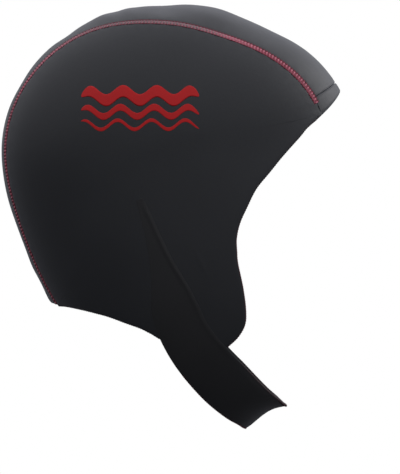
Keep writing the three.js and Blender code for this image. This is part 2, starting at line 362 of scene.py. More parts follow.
# A socket in a material's nodes: sums and products of wires and numbers add Math nodes.
class Wire:
    def __init__(self, tree, socket=None):
        self.tree = tree
        self.socket = socket

    # A node of any kind: its settings first, then the values or links of its sockets
    def node(self, kind, settings=None, inputs=None, output=0):
        made = self.tree.nodes.new(kind)
        for key, value in (settings or {}).items():
            setattr(made, key, value)
        for key, value in (inputs or {}).items():
            if isinstance(value, Wire):
                self.tree.links.new(value.socket, made.inputs[key])
            else:
                made.inputs[key].default_value = value
        return Wire(self.tree, made.outputs[output])

    def math(self, operation, *values):
        return self.node("ShaderNodeMath", {"operation": operation}, dict(enumerate(values)))

    def __add__(self, other):
        return self.math("ADD", self, other)

    def __sub__(self, other):
        return self.math("SUBTRACT", self, other)

    def __rsub__(self, other):
        return self.math("SUBTRACT", other, self)

    def __mul__(self, other):
        return self.math("MULTIPLY", self, other)

    def __truediv__(self, other):
        return self.math("DIVIDE", self, other)

    def __pow__(self, other):
        return self.math("POWER", self, other)

    __radd__ = __add__
    __rmul__ = __mul__

    def sine(self):
        return self.math("SINE", self)

    def fraction(self):
        return self.math("FRACT", self)

    def size(self):
        return self.math("ABSOLUTE", self)

    def clamped(self):
        return self.node("ShaderNodeClamp", inputs={"Value": self})

    # The first colour where self is 0 and the second where it is 1
    def mix(self, first, second):
        inputs = {"Factor": self, 6: first, 7: second}
        return self.node("ShaderNodeMix", {"data_type": "RGBA"}, inputs, 2)


# A colour for a socket, made lighter or darker by a factor
def colour(parts, factor=1.0):
    red, green, blue = parts
    return (red * factor, green * factor, blue * factor, 1.0)


# A material with one Principled shader: fixed values go on its sockets, and what varies is linked
def startMaterial(name, fixed):
    material = bpy.data.materials.new(name)
    material.use_nodes = True
    tree = material.node_tree
    tree.nodes.clear()
    output = tree.nodes.new("ShaderNodeOutputMaterial")
    shader = tree.nodes.new("ShaderNodeBsdfPrincipled")
    tree.links.new(shader.outputs["BSDF"], output.inputs["Surface"])
    for key, value in fixed.items():
        shader.inputs[key].default_value = value
    wire = Wire(tree)

    def link(key, value):
        tree.links.new(value.socket, shader.inputs[key])

    return material, wire, link


# Soft spots of a given size, on Object coordinates
def noise(wire, size, detail=2.0):
    place = wire.node("ShaderNodeTexCoord", output=3)
    inputs = {"Vector": place, "Scale": 1 / size, "Detail": detail}
    return wire.node("ShaderNodeTexNoise", {"noise_dimensions": "3D"}, inputs)


def attribute(wire, name):
    return wire.node("ShaderNodeAttribute", {"attribute_name": name}, output=2)


def bump(wire, height, distance, normal=None):
    inputs = {"Height": height, "Distance": distance, "Strength": 1.0}
    if normal is not None:
        inputs["Normal"] = normal
    return wire.node("ShaderNodeBump", inputs=inputs)


jersey = {
    "wale": 0.55 * mm,  # width of one column of knit stitches
    "course": 0.42 * mm,  # height of one row of them
    "legShare": 0.45,  # of the knit's height; the rest is the grooves between the wales
    "knitDepth": 0.03 * mm,
    "peelSize": 2.6 * mm,  # soft unevenness of the foam under the jersey
    "peelDepth": 0.05 * mm,
    "cloudSize": 26 * mm,
    "cloudShade": 0.5,
    "cloudRoughness": 0.12,
    "fleckSize": 1.4 * mm,
    "fleckShade": 0.35,
    "darker": 0.8,  # the face's darkest and lightest places, as shares of its colour
    "lighter": 1.22,
    "liningDarker": 0.85,
    "coreDarker": 0.55,  # the foam that shows at a cut edge
    "cutRoughness": 0.2,  # and how much rougher it is
    "sheenTint": (0.82, 0.86, 1.0),
}


# Knit face of one wale: two slanted legs per stitch, between grooves along the wales
def knitHeight(wire):
    place = wire.node("ShaderNodeUVMap", {"uv_map": "cloth"})
    split = wire.node("ShaderNodeSeparateXYZ", inputs={"Vector": place})
    rise = Wire(wire.tree, split.socket.node.outputs[1])
    acrossWale = ((split * (1 / jersey["wale"])).fraction() - 0.5).size() * 2
    leg = ((rise * (1 / jersey["course"]) + acrossWale * 0.5) * (2 * np.pi)).sine() * 0.5 + 0.5
    return leg * jersey["legShare"] + (1 - acrossWale ** 2.0) * (1 - jersey["legShare"])


def neoprene(name, face, lining, roughness, sheen):
    fixed = {
        "Metallic": 0.0,
        "Specular IOR Level": 0.35,
        "Sheen Weight": sheen,
        "Sheen Roughness": 0.45,
        "Sheen Tint": colour(jersey["sheenTint"]),
    }
    material, wire, link = startMaterial(name, fixed)
    cloud = noise(wire, jersey["cloudSize"], detail=3.0)
    fleck = noise(wire, jersey["fleckSize"])
    shade = (cloud - 0.5) * jersey["cloudShade"] + (fleck - 0.5) * jersey["fleckShade"] + 0.5
    faceColour = shade.clamped().mix(colour(face, jersey["darker"]), colour(face, jersey["lighter"]))
    liningColour = shade.clamped().mix(colour(lining, jersey["liningDarker"]), colour(lining))
    inside = attribute(wire, "inside")
    cut = attribute(wire, "cut")
    cloth = inside.clamped().mix(faceColour, liningColour)
    link("Base Color", cut.clamped().mix(cloth, colour(face, jersey["coreDarker"])))
    uneven = (cloud - 0.5) * jersey["cloudRoughness"] + cut * jersey["cutRoughness"]
    link("Roughness", uneven + roughness)
    peel = bump(wire, noise(wire, jersey["peelSize"]), jersey["peelDepth"])
    link("Normal", bump(wire, knitHeight(wire), jersey["knitDepth"], peel))
    return material


# The thread's tone goes from dark at 0 to deep, then to light at 1, and on to a paler, greyer red at 2
thread = {
    "dark": (0.03, 0.004, 0.008),
    "deep": (0.17, 0.008, 0.026),
    "deepTone": 0.3,
    "light": (0.56, 0.17, 0.23),
    "paleTop": (0.2, 0.155, 0.165),
    "fibreSize": 0.5 * mm,
    "fibreDepth": 0.05 * mm,
    "fibreShade": 0.4,
    "fibreRoughness": 0.2,
    "roughness": 0.55,
}


def threadMaterial(name):
    fixed = {"Metallic": 0.0, "Specular IOR Level": 0.2, "Sheen Weight": 0.05, "Sheen Roughness": 0.4}
    material, wire, link = startMaterial(name, fixed)
    fibre = noise(wire, thread["fibreSize"], detail=3.0)
    tone = (fibre - 0.5) * thread["fibreShade"] + attribute(wire, "tone")
    toDeep = (tone / thread["deepTone"]).clamped()
    toLight = ((tone - thread["deepTone"]) / (1 - thread["deepTone"])).clamped()
    redTones = toLight.mix(toDeep.mix(colour(thread["dark"]), colour(thread["deep"])), colour(thread["light"]))
    link("Base Color", (tone - 1.0).clamped().mix(redTones, colour(thread["paleTop"])))
    link("Roughness", (fibre - 0.5) * thread["fibreRoughness"] + thread["roughness"])
    link("Normal", bump(wire, fibre, thread["fibreDepth"]))
    return material


ink = {
    "colour": (0.5, 0.008, 0.01),
    "darker": 0.82,
    "lighter": 1.12,
    "grainSize": 0.6 * mm,
    "grainDepth": 0.03 * mm,
    "grainShade": 0.5,
    "grainRoughness": 0.15,
    "cloudSize": 9 * mm,
    "cloudShade": 0.4,
    "roughness": 0.5,
}


def printMaterial(name):
    fixed = {"Metallic": 0.0, "Specular IOR Level": 0.22}
    material, wire, link = startMaterial(name, fixed)
    grain = noise(wire, ink["grainSize"])
    cloud = noise(wire, ink["cloudSize"])
    shade = (grain - 0.5) * ink["grainShade"] + (cloud - 0.5) * ink["cloudShade"] + 0.5
    darker = colour(ink["colour"], ink["darker"])
    lighter = colour(ink["colour"], ink["lighter"])
    link("Base Color", shade.clamped().mix(darker, lighter))
    link("Roughness", (grain - 0.5) * ink["grainRoughness"] + ink["roughness"])
    link("Normal", bump(wire, grain, ink["grainDepth"]))
    return material


hooks = {
    "colour": (0.012, 0.012, 0.013),
    # The raised hooks are painted lighter than the hollows between them, as painted shade that follows the
    # bump.
    "lighter": 1.5,
    "size": 0.9 * mm,
    "depth": 0.3 * mm,
}


def hookMaterial(name):
    fixed = {"Metallic": 0.0, "Roughness": 0.85, "Specular IOR Level": 0.3}
    material, wire, link = startMaterial(name, fixed)
    place = wire.node("ShaderNodeTexCoord", output=3)
    inputs = {"Vector": place, "Scale": 1 / hooks["size"]}
    away = wire.node("ShaderNodeTexVoronoi", {"feature": "F1"}, inputs)
    # Painted shade: lighter on the raised hooks, darker in the hollows between them.
    lighter = colour(hooks["colour"], hooks["lighter"])
    link("Base Color", away.clamped().mix(lighter, colour(hooks["colour"])))
    link("Normal", bump(wire, 1 - away, hooks["depth"]))
    return material


# Neoprene is given its face and lining colours, its roughness and its sheen
capLining = (0.034, 0.036, 0.04)
strapLining = (0.026, 0.027, 0.03)
finishes = {
    "panel_neoprene": neoprene("panelJersey", (0.0188, 0.0206, 0.0242), capLining, 0.6, 0.12),
    "crown_neoprene": neoprene("crownJersey", (0.0205, 0.0215, 0.0245), capLining, 0.56, 0.2),
    "strap_neoprene": neoprene("strapJersey", (0.0175, 0.018, 0.0198), strapLining, 0.62, 0.11),
    "seam_thread": threadMaterial("redThread"),
    "red_print": printMaterial("redPrint"),
    "hook_fastener": hookMaterial("hookPile"),
}
print("materials:", len(finishes))


# Rides on the frame's one body, with the finish of its slot
def dress(piece, slotName, *replaced):
    piece.data.materials.append(finishes[slotName])
    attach(piece, "root")
    if replaced:
        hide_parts(*replaced)
    return piece


# Cloth edges

edges = {
    "zone": 8 * mm,  # the stretch by an edge that has close rows of points
    "zoneMost": 0.6,  # of the way into a piece
    "nearSteps": 16,
    "bulge": 1.1 * mm,  # how far the rounding of a cut edge reaches into the cloth
    "squareness": 3.0,
    "seamGap": 0.16 * mm,  # between the two cloths of a seam
    "lap": 0.45 * mm,  # beside the brow band the side panel reaches under it by this
    "seamValley": 0.75 * mm,  # how far a seam's threads pull the outer face in
    "seamPinch": 0.45 * mm,  # and the inner face out
    "valleyWidth": 1.7 * mm,
    "plainValley": 0.1,  # what is left of the valley beside the brow band, where there are no threads
    "plainBulge": 0.15,  # and of the bulge there
    "cutGone": 0.8,  # the bare foam shows from the border to where the rounding is this much
}
nearSteps = 1 - np.cos(np.pi / 2 * np.arange(edges["nearSteps"] + 1) / edges["nearSteps"])


# Distances from an edge into a piece that is "reach" deep: close steps in the zone by the edge,
# then even ones.
def fromEdge(reach, farCount):
    reach = np.asarray(reach, float)[..., None]
    zone = np.minimum(edges["zone"], edges["zoneMost"] * reach)
    farSteps = np.arange(1, farCount + 1) / farCount
    return np.concatenate([zone * nearSteps, zone + (reach - zone) * farSteps], -1)


# 0 at the edge and 1 past the bulge, along a superellipse
def rounding(distance, bulge=edges["bulge"], power=edges["squareness"]):
    away = 1 - np.clip(distance / bulge, 0, 1)
    return (1 - away ** power) ** (1 / power)


# Both levels drawn to their middle by the rounding, so that they meet at the border. The third
# value is how much the cut edge shows there, where it is bare.
def closedLevels(outer, inner, roundness, bare):
    middle = (outer + inner) / 2
    cut = bare * (1 - np.clip(roundness / edges["cutGone"], 0, 1))
    half = (outer - inner) / 2 * roundness
    return middle + half, middle - half, cut


# The brow band, at the front end of the crown strip. Its edge and its seam are directions that
# grow less by their arch from the middle of the strip to its sides.
brow = {
    "toward": 17.8,
    "edgeArch": 6,
    "seamArch": 2.6,
    "height": 6.6 * mm,  # from the fold to the hem line
    "wall": 3.8 * mm,
    "proud": 0.1 * mm,  # over the level of the strip
    "swell": 0.1 * mm,  # and what its outer face gains half way up
    "groove": 0.28 * mm,  # along the line of blind stitches that holds the fold
    "grooveWidth": 0.6 * mm,
    "hemBulge": 0.22 * mm,  # how far the roundings reach in at the hem line, the fold and the sides
    "foldBulge": 1.9 * mm,
    "foldPower": 2.0,  # a half round
    "sideBulge": 0.15 * mm,
    "threaded": (0.64, 0.76),  # the seams' threads start between these shares of the band's height
    "threadsBelow": 2.2,  # that is this far below its hem line, in degrees
    "threadsEase": (-0.1, 0.6),  # and the seam takes its form over these degrees from there
    "farRows": 8,
}
# The nape hem grows more by its arch, and the seams' threads end short of it, all in degrees
nape = {"toward": 234.8, "arch": 2, "threadsShort": 0.5}
browSeamMiddle = brow["toward"] + np.degrees(brow["height"] / head["browReach"])


# The strip's edges: their direction at a place from -1 to 1 across it
def browEdgeToward(across):
    return brow["toward"] - brow["edgeArch"] * across ** 2


def browSeamToward(across):
    return browSeamMiddle - brow["seamArch"] * across ** 2


def napeHemToward(across):
    return nape["toward"] + nape["arch"] * across ** 2


# The seams' threads start part of the way down the brow band, and end just short of the nape hem
threadStart = browSeamToward(1) - brow["threadsBelow"]
threadEnd = napeHemToward(1) - nape["threadsShort"]


# 0 where a seam has no threads, 1 where it has them
def threadedAt(toward):
    before, after = brow["threadsEase"]
    return easeBetween(toward, threadStart + before, threadStart + after)


# Gathers beside a seam
pucker = {
    "length": 8.5 * mm,
    "drift": 2,  # by how much, in radians, they run ahead and behind
    "driftRate": 40,  # in radians per metre
    "middle": 2.5 * mm,  # from the seam
    "reach": 5 * mm,
}


# A sine along the seam, moved to and fro by a slower one, on a hill over the distance from it
def gathersAt(run, seamDistance):
    drift = pucker["drift"] * np.sin(pucker["driftRate"] * run)
    wave = np.sin(2 * np.pi * run / pucker["length"] + drift)
    return wave * hill(seamDistance - pucker["middle"], pucker["reach"])


# Side panels

panel = {
    "wall": 3 * mm,
    "seamColumns": 410,
    "closeColumns": 16,  # of them, close together beside the brow band
    "closeArc": 3,  # over these degrees from the band's corner
    "seamStart": (-1, 3),  # columns from the corner over which the edge becomes a seam
    "seamStop": (-5, 1),  # and columns from the seam's end over which it becomes a hem
    "lapArc": 1.5,  # the lap under the band grows to its whole over these degrees from the corner
    "napeColumns": 66,
    "flapColumns": 44,
    "faceColumns": 210,
    "hemSamples": 2000,
    "farRings": 32,
    "hemDrop": 0.3 * mm,  # a free edge turns in by this
    "hemWidth": 1.6 * mm,
    "hemOut": 0.6 * mm,  # and is let out by this, so that its rounding ends at the outline
    "cornerArc": 5,  # but not at the band's corner, from where it grows over these degrees
    "swell": 0.22 * mm,  # slow unevenness of the stretched cloth
    "swellWhole": 5 * mm,  # from this height over the ear pole up
    "swellGone": -25 * mm,  # from here down the flaps are pulled smooth
    "swellIn": 0.25,  # and it fades out over this share of the reach, to the edge
    "pucker": 0.1 * mm,
    "crease": 0.16 * mm,
    "creaseWidth": 1.4 * mm,
}
# radians per metre along x and z, phase, and share of the swell
swellWaves = [(61, 47, 0.9, 0.6), (-58, 49, 2.1, 0.5), (118, -93, 2, 0.5)]

# toward and share of the reach, along the hems of a side panel
napeHemRows = [(239, 0.942), (243, 0.89), (248, 0.836), (253, 0.791), (258.5, 0.754), (264, 0.722)]
flapEndRows = [(267.5, 0.712), (274, 0.713), (281, 0.724), (285.5, 0.722), (289, 0.711)]
faceEdgeRows = [
    (292.9, 0.693), (296, 0.669), (298.2, 0.63), (300.9, 0.567), (304.2, 0.494), (306.8, 0.463), (311, 0.432),
    (318, 0.42), (327.9, 0.438), (337, 0.47), (348, 0.54), (357, 0.614), (365, 0.711), (368.5, 0.764),
]
# x and z from the ear pole to the ends of the faint crease in front of the strap
creaseEnds = np.array([[20.5, -59.4], [28.7, -74.7]]) * mm


# Side view places of a panel's edge, as shares of the reach along x and z
def edgePlaces(rows):
    toward, share = np.array(rows, float).T
    angle = np.radians(toward)
    return np.stack([share * np.cos(angle), share * np.sin(angle)], -1)


# The panel's whole edge, once round: up the seam from the brow to the nape, then along the hems.
# Gives the places and how much of a seam, from 0 to 1, each of them is.
def panelEdge():
    start, end = browEdgeToward(1), napeHemToward(1)
    close = np.linspace(start, start + panel["closeArc"], panel["closeColumns"] + 1)
    farColumns = panel["seamColumns"] - panel["closeColumns"]
    toward = np.concatenate([close[:-1], np.linspace(close[-1], end, farColumns + 1)])
    threaded = threadedAt(toward)
    lap = edges["lap"] * easeBetween(toward, start, start + panel["lapArc"]) * (1 - threaded)
    gap = edges["seamGap"] / 2 * threaded - lap
    share = shareAtHalfWidth(toward, crownHalfAt(toward) + gap)
    seam = edgePlaces(list(zip(toward, share)))
    flap = edgePlaces(flapEndRows)
    stretches = [
        (np.concatenate([seam[-1:], edgePlaces(napeHemRows), flap[:1]]), panel["napeColumns"]),
        (flap, panel["flapColumns"]),
        (np.concatenate([flap[-1:], edgePlaces(faceEdgeRows), seam[:1]]), panel["faceColumns"]),
    ]
    samples = np.linspace(0, 1, panel["hemSamples"])
    hems = [evenly(throughRows(rows, samples), steps + 1)[1:] for rows, steps in stretches]
    places = np.concatenate([seam, *hems])[:-1]
    column = np.arange(len(places))
    last = panel["seamColumns"]
    isSeam = easeBetween(column, *panel["seamStart"]) * (1 - easeBetween(column - last, *panel["seamStop"]))
    isSeam[last + 1:] = 0
    return places, isSeam


# The edge as it lies on the form: its direction, its share of the reach, how much of a seam it is,
# and its growth, which is how fast the distance to the edge grows along the ray from the pole
def panelBorder(side):
    places, isSeam = panelEdge()
    toward = np.degrees(np.arctan2(places[:, 1], places[:, 0]))
    reach = np.hypot(places[:, 0], places[:, 1])
    step = 0.002
    border = formPoint(toward, reach, side)
    ray = (border - formPoint(toward, reach * (1 - step), side)) / step
    along = unit(np.roll(border, -1, axis=0) - np.roll(border, 1, axis=0))
    growth = np.linalg.norm(np.cross(ray, along), axis=-1)
    fromCorner = np.abs(toward - browEdgeToward(1))
    out = panel["hemOut"] * (1 - isSeam) * easeBetween(fromCorner, 0, panel["cornerArc"])
    return toward, reach * (1 + out / growth), isSeam, growth


# Slow unevenness at a place in the side view: a sum of plain waves
def panelSwell(x, z):
    slow = sum(share * np.sin(alongX * x + alongZ * z + phase) for alongX, alongZ, phase, share in swellWaves)
    return panel["swell"] * slow * easeBetween(z, panel["swellGone"], panel["swellWhole"])


# A low ridge along the line between two places in the side view, which fades to both its ends
def creaseRidge(x, z):
    start, end = creaseEnds
    line = end - start
    t = np.clip(((x - start[0]) * line[0] + (z - start[1]) * line[1]) / (line ** 2).sum(), 0, 1)
    off = np.hypot(x - start[0] - t * line[0], z - start[1] - t * line[1])
    return panel["crease"] * hill(off, panel["creaseWidth"]) * np.sin(np.pi * t)


# A side panel is a fan of rings round the ear. A ring's share of the reach is 1 less its distance
# to the edge over the growth. Beside the brow band the seam has no threads and hardly a valley.
def sidePanel(name, side):
    toward, reach, isSeam, growth = panelBorder(side)
    distance = fromEdge(growth, panel["farRings"])[:, ::-1].T
    ring = np.maximum(1 - distance / growth, 0)
    grid = formPoint(toward, ring * reach, side)
    x = grid[..., 0] - head["pole"][0]
    z = grid[..., 2] - head["pole"][2]
    border = grid[-1]
    seamLength = np.cumsum(np.linalg.norm(border - np.roll(border, 1, axis=0), axis=-1))
    plain = isSeam * (1 - threadedAt(np.mod(toward, 360)))
    valley = hill(distance, edges["valleyWidth"]) * (isSeam - (1 - edges["plainValley"]) * plain)
    outer = -edges["seamValley"] * valley
    outer = outer - (1 - isSeam) * panel["hemDrop"] * hill(distance, panel["hemWidth"])
    outer = outer + isSeam * panel["pucker"] * gathersAt(seamLength, distance)
    swell = panelSwell(x, z) * easeBetween(1 - ring, 0, panel["swellIn"])
    outer = outer + swell + creaseRidge(x, z)
    inner = swell - panel["wall"] + edges["seamPinch"] * valley
    bulge = edges["bulge"] * (1 - (1 - edges["plainBulge"]) * plain)
    levels = closedLevels(outer, inner, rounding(distance, bulge), 1 - isSeam)
    angle = np.radians(toward)
    cloth = lengthAlong(grid)[..., None] * np.stack([np.cos(angle), np.sin(angle)], -1)
    return clothSheet(name, grid, levels, cloth, ringed=True)


for name, side in (("side_panel_right", right), ("side_panel_left", left)):
    piece = dress(sidePanel(name + "_cloth", side), "panel_neoprene", name)
print("side panels: done")


# Crown strip

crown = {
    "wall": 3 * mm,
    "farRows": 130,
    "farColumns": 14,
    "browGap": 0.12 * mm,
    "pucker": 0.09 * mm,
    "swell": 0.1 * mm,
    "swellIn": 20 * mm,  # it has its whole height this far in from the strip's edges
    "swellX": 73,  # in radians per metre, to the front
    "swellPhase": 0.5,
    "swellY": 55,  # and across
    "runSwell": 0.5,  # share of the swell of a second wave along the strip
    "runRate": 37,
    "middleSamples": 400,
    "heaveReach": 22 * mm,
}
# Low humps and hollows across the strip: toward, height, and half width in degrees
heaves = [
    (46, -0.7 * mm, 7), (67, 1.2 * mm, 8), (88, -1.2 * mm, 7), (103, 0.5 * mm, 3), (113, 0.9 * mm, 4.5),
    (129, -0.9 * mm, 5), (155, -0.5 * mm, 6), (198, 0.6 * mm, 9), (222, 0.5 * mm, 4), (234, 0.9 * mm, 4),
]


# Grid of the strip between two edges given as functions of the place across. It returns the
# points, the distances to the seams and to the start and end edges, and the cloth's own chart.
def stripGrid(startToward, endToward, farRows, farColumns):
    def point(along, across):
        toward = startToward(across) * (1 - along) + endToward(across) * along
        halfStrip = (crownHalfAt(toward) - edges["seamGap"] / 2) * across
        return formPoint(toward, shareAtHalfWidth(toward, halfStrip), np.sign(across))

    samples = np.linspace(0, 1, crown["middleSamples"])
    length = lengthAlong(point(samples, np.zeros_like(samples)))[-1]
    alongHalf = fromEdge(length / 2, farRows)
    alongLength = np.concatenate([alongHalf, length - alongHalf[-2::-1]])
    along = (alongLength / length)[:, None]
    step = 0.002
    one = np.ones_like(along)
    growth = np.linalg.norm(point(along, one) - point(along, one - step), axis=-1) / step
    distance = fromEdge(growth[:, 0], farColumns)
    acrossRight = -1 + distance / growth
    across = np.concatenate([acrossRight, -acrossRight[:, -2::-1]], 1)
    grid = point(along, across)
    seamDistance = np.concatenate([distance, distance[:, -2::-1]], 1)
    startDistance = np.broadcast_to(alongLength[:, None], across.shape)
    cloth = np.stack([across * growth, startDistance], -1)
    return grid, seamDistance, startDistance, length - startDistance, cloth


# The crown strip: its outer face sinks to the seams' valleys, the groove of the hem line and the
# nape hem, and rises with the gathers, a slow swell, and the humps and hollows.
def crownPanel():
    gapAngle = np.degrees(crown["browGap"] / head["browReach"])

    def startToward(across):
        return browSeamToward(across) + gapAngle

    shape = stripGrid(startToward, napeHemToward, crown["farRows"], crown["farColumns"])
    grid, seamDistance, browDistance, napeDistance, cloth = shape
    run = cloth[..., 1]
    valley = hill(seamDistance, edges["valleyWidth"])
    outer = -edges["seamValley"] * valley
    outer = outer - brow["groove"] * hill(browDistance, brow["grooveWidth"])
    outer = outer - panel["hemDrop"] * hill(napeDistance, panel["hemWidth"])
    outer = outer + crown["pucker"] * gathersAt(run, seamDistance)
    slow = np.sin(grid[..., 0] * crown["swellX"] + crown["swellPhase"])
    slow = slow * np.cos(grid[..., 1] * crown["swellY"]) + crown["runSwell"] * np.sin(run * crown["runRate"])
    nearest = np.minimum(seamDistance, np.minimum(browDistance, napeDistance))
    inward = easeBetween(nearest, 0, crown["swellIn"])
    toward = towardOf(grid)
    heave = sum(height * hill(toward - middle, width) for middle, height, width in heaves)
    swell = crown["swell"] * slow * inward + heave * easeBetween(seamDistance, 0, crown["heaveReach"])
    outer = outer + swell
    inner = swell - crown["wall"] + edges["seamPinch"] * valley
    roundness = rounding(seamDistance) * rounding(browDistance, brow["hemBulge"]) * rounding(napeDistance)
    bare = hill(napeDistance, edges["zone"])
    return clothSheet("crown_panel_cloth", grid, closedLevels(outer, inner, roundness, bare), cloth)


piece = dress(crownPanel(), "crown_neoprene", "crown_panel")
print("crown panel: done")


# The brow band: the strip's end folded to the inside. Its outer face bulges between the fold,
# which is a half round, and the groove of its hem line.
def browBand():
    shape = stripGrid(browEdgeToward, browSeamToward, brow["farRows"], crown["farColumns"])
    grid, sideDistance, foldDistance, hemDistance, cloth = shape
    share = foldDistance / (foldDistance + hemDistance)
    outer = brow["proud"] + brow["swell"] * np.sin(np.pi * share)
    threaded = easeBetween(share, *brow["threaded"])
    valley = edges["seamValley"] * (edges["plainValley"] + (1 - edges["plainValley"]) * threaded)
    outer = outer - valley * hill(sideDistance, edges["valleyWidth"])
    outer = outer - (brow["groove"] + brow["proud"]) * hill(hemDistance, brow["grooveWidth"])
    inner = np.full_like(outer, brow["proud"] - brow["wall"])
    roundness = rounding(foldDistance, brow["foldBulge"], brow["foldPower"])
    roundness = roundness * rounding(hemDistance, brow["hemBulge"]) * rounding(sideDistance, brow["sideBulge"])
    return clothSheet("brow_band_cloth", grid, closedLevels(outer, inner, roundness, 0), cloth)


piece = dress(browBand(), "crown_neoprene", "brow_band")
print("brow band: done")


# Chin strap

strap = {
    "wall": 2.4 * mm,
    "width": 30 * mm,
    "dropStart": 0.72,  # it leaves the flap between these shares of the chin's reach
    "dropEnd": 0.88,
    "cup": 4.2 * mm,
    "cupWhole": 0.1,  # shares of the half width, from the middle plane
    "cupGone": 0.6,
    "cupForward": 0.35,  # how much deeper it is by the front edge
    "rearDrop": 1.5 * mm,  # how much lower the rear edge hangs under the chin
    "rows": 520,
    "farColumns": 12,
    "layGap": 0.05 * mm,  # between the flap and the sewn end, and under the free end
    "sewnWall": 0.1 * mm,  # what shows of the sewn end, which is pressed into the flap
    "ridge": 0.44 * mm,  # along the sewn end's front edge
    "ridgeIn": 1.6 * mm,
    "ridgeWidth": 1.4 * mm,
    "ridgeWhole": 12 * mm,  # it has its whole height from here on along the strap
    "ridgeLoss": 0.45,  # and loses this share of it
    "ridgeEase": (40 * mm, 80 * mm),  # between these
    "edgeThin": 0.5 * mm,
    "edgeReach": 2.4 * mm,
    "bulge": 0.8 * mm,
    "swell": 0.12 * mm,
    "swellAlong": 95,  # in radians per metre
    "swellPhase": 1,
    "swellAcross": 1.5,  # in radians, from the middle to an edge
    "samples": 900,
}
# The closure patch, which the strap's left end stands over
patch = {
    "top": 1.6 * mm,  # its outer face over the flap
    "fromTip": 72 * mm,  # from the strap's tip to its middle
    "length": 34 * mm,
    "width": 16 * mm,
    "clear": 0.15 * mm,  # between it and the strap
    "near": 1.5 * mm,  # this far from the patch the strap starts to fall
    "far": 9 * mm,  # and here it lies on the flap
}

# Middle of the strap from its tip on the right flap to the middle plane: toward, share of the
# reach, and width as a share of the strap's
strapRows = [
    (248.8, 0.252, 0.13), (256.6, 0.279, 0.2), (266.2, 0.345, 0.3), (271, 0.419, 0.46), (273.4, 0.479, 0.65),
    (274.7, 0.528, 0.82), (275.6, 0.582, 0.96), (277.2, 0.641, 1), (279.6, 0.702, 1.05), (282.3, 0.763, 1.11),
    (285.6, 0.843, 1.14), (288.7, 0.924, 1.08), (290.9, 0.978, 1), (291.8, 1, 0.97),
]


# Middle line, direction across and width of the strap at places from 0 to 1 along it
def strapFrame(places):
    toward, share, width = np.array(strapRows, float).T
    half = formPoint(toward, share, right)
    path = np.concatenate([half, half[-2::-1] * [1, -1, 1]])
    widths = np.concatenate([width, width[-2::-1]]) * strap["width"]
    step = 1e-4
    ahead = throughRows(path, np.clip(places + step, 0, 1))
    behind = throughRows(path, np.clip(places - step, 0, 1))
    middle = settle(throughRows(path, places))
    aside = unit(np.cross(formNormal(middle), ahead - behind))
    return middle, aside, throughRows(widths, places)


# The strap's grid on the form: rows straight across its middle line, each as wide as the strap is
# there. It returns the places across, from -1 at the rear edge, and the cloth's own chart too.
def strapGrid():
    coarse = np.linspace(0, 1, strap["samples"])
    run = lengthAlong(strapFrame(coarse)[0])
    length = run[-1]
    half = fromEdge(length / 2, strap["rows"] // 2)
    alongLength = np.concatenate([half, length - half[-2::-1]])
    places = np.interp(alongLength, run, coarse)
    middle, aside, width = strapFrame(places)
    distance = fromEdge(width / 2, strap["farColumns"])
    acrossRear = -1 + distance / (width / 2)[:, None]
    across = np.concatenate([acrossRear, -acrossRear[:, -2::-1]], 1)
    sideways = across * (width / 2)[:, None]
    grid = settle(middle[:, None] + aside[:, None] * sideways[..., None])
    sideDistance = np.concatenate([distance, distance[:, -2::-1]], 1)
    along = np.broadcast_to(alongLength[:, None], across.shape)
    return grid, across, sideDistance, np.stack([sideways, along], -1)


# How high the strap's faces stand over the form. Its right end is pressed flat into the flap and has
# a ridge along its front edge, its left end lies on the flap and over the patch, and between them it
# is flush with the form, with its wall inwards, and cupped under the chin.
def strapLevels(grid, across, sideDistance, cloth):
    away = grid - head["pole"]
    sideways, along = cloth[..., 0], cloth[..., 1]
    length = along.max()
    reach = np.hypot(away[..., 0], away[..., 2]) / head["chinReach"]
    onSkin = easeBetween(reach, strap["dropStart"], strap["dropEnd"])
    cupped = 1 - easeBetween(np.abs(grid[..., 1]) / head["halfWidth"], strap["cupWhole"], strap["cupGone"])
    cup = strap["cup"] * cupped * (1 - across ** 2) * (1 + strap["cupForward"] * across)
    rearDrop = strap["rearDrop"] * cupped * (1 - across) / 2
    frontDistance = sideDistance.max(1, keepdims=True) * (1 - across)
    ridge = strap["ridge"] * hill(frontDistance - strap["ridgeIn"], strap["ridgeWidth"])
    ridge = ridge * easeBetween(along, 0, strap["ridgeWhole"])
    ridge = ridge * (1 - strap["ridgeLoss"] * easeBetween(along, *strap["ridgeEase"]))
    sewn = strap["sewnWall"] + ridge
    fromPatch = np.abs(along - length + patch["fromTip"]) - patch["length"] / 2
    fromPatch = np.maximum(fromPatch, np.abs(sideways) - patch["width"] / 2)
    overPatch = (patch["top"] + patch["clear"]) * (1 - easeBetween(fromPatch, patch["near"], patch["far"]))
    isRight = grid[..., 1] < 0
    onFlap = np.where(isRight, strap["layGap"], np.maximum(overPatch, strap["layGap"]))
    swell = strap["swell"] * np.sin(along * strap["swellAlong"] + strap["swellPhase"])
    swell = swell * np.cos(across * strap["swellAcross"]) * onSkin
    inner = onFlap * (1 - onSkin) - strap["wall"] * onSkin - cup + rearDrop + swell
    wall = np.where(isRight, sewn, strap["wall"]) * (1 - onSkin) + strap["wall"] * onSkin
    soft = np.where(isRight, onSkin, 1)
    endDistance = length - along
    thin = strap["edgeThin"] * soft * hill(np.minimum(sideDistance, endDistance), strap["edgeReach"])
    return inner + wall - thin, inner, onSkin


# The strap between its two levels, with its sides and ends rounded
def chinStrap():
    grid, across, sideDistance, cloth = strapGrid()
    outer, inner, onSkin = strapLevels(grid, across, sideDistance, cloth)
    along = cloth[..., 1]
    endDistance = np.minimum(along, along.max() - along)
    roundness = rounding(sideDistance, strap["bulge"]) * rounding(endDistance, strap["bulge"])
    bare = np.where(grid[..., 1] < 0, onSkin, 1)
    return clothSheet("chin_strap_cloth", grid, closedLevels(outer, inner, roundness, bare), cloth)


piece = dress(chinStrap(), "strap_neoprene", "chin_strap")
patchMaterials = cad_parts["closure_patch"].data.materials
patchMaterials.clear()
patchMaterials.append(finishes["hook_fastener"])
print("chin strap: done")


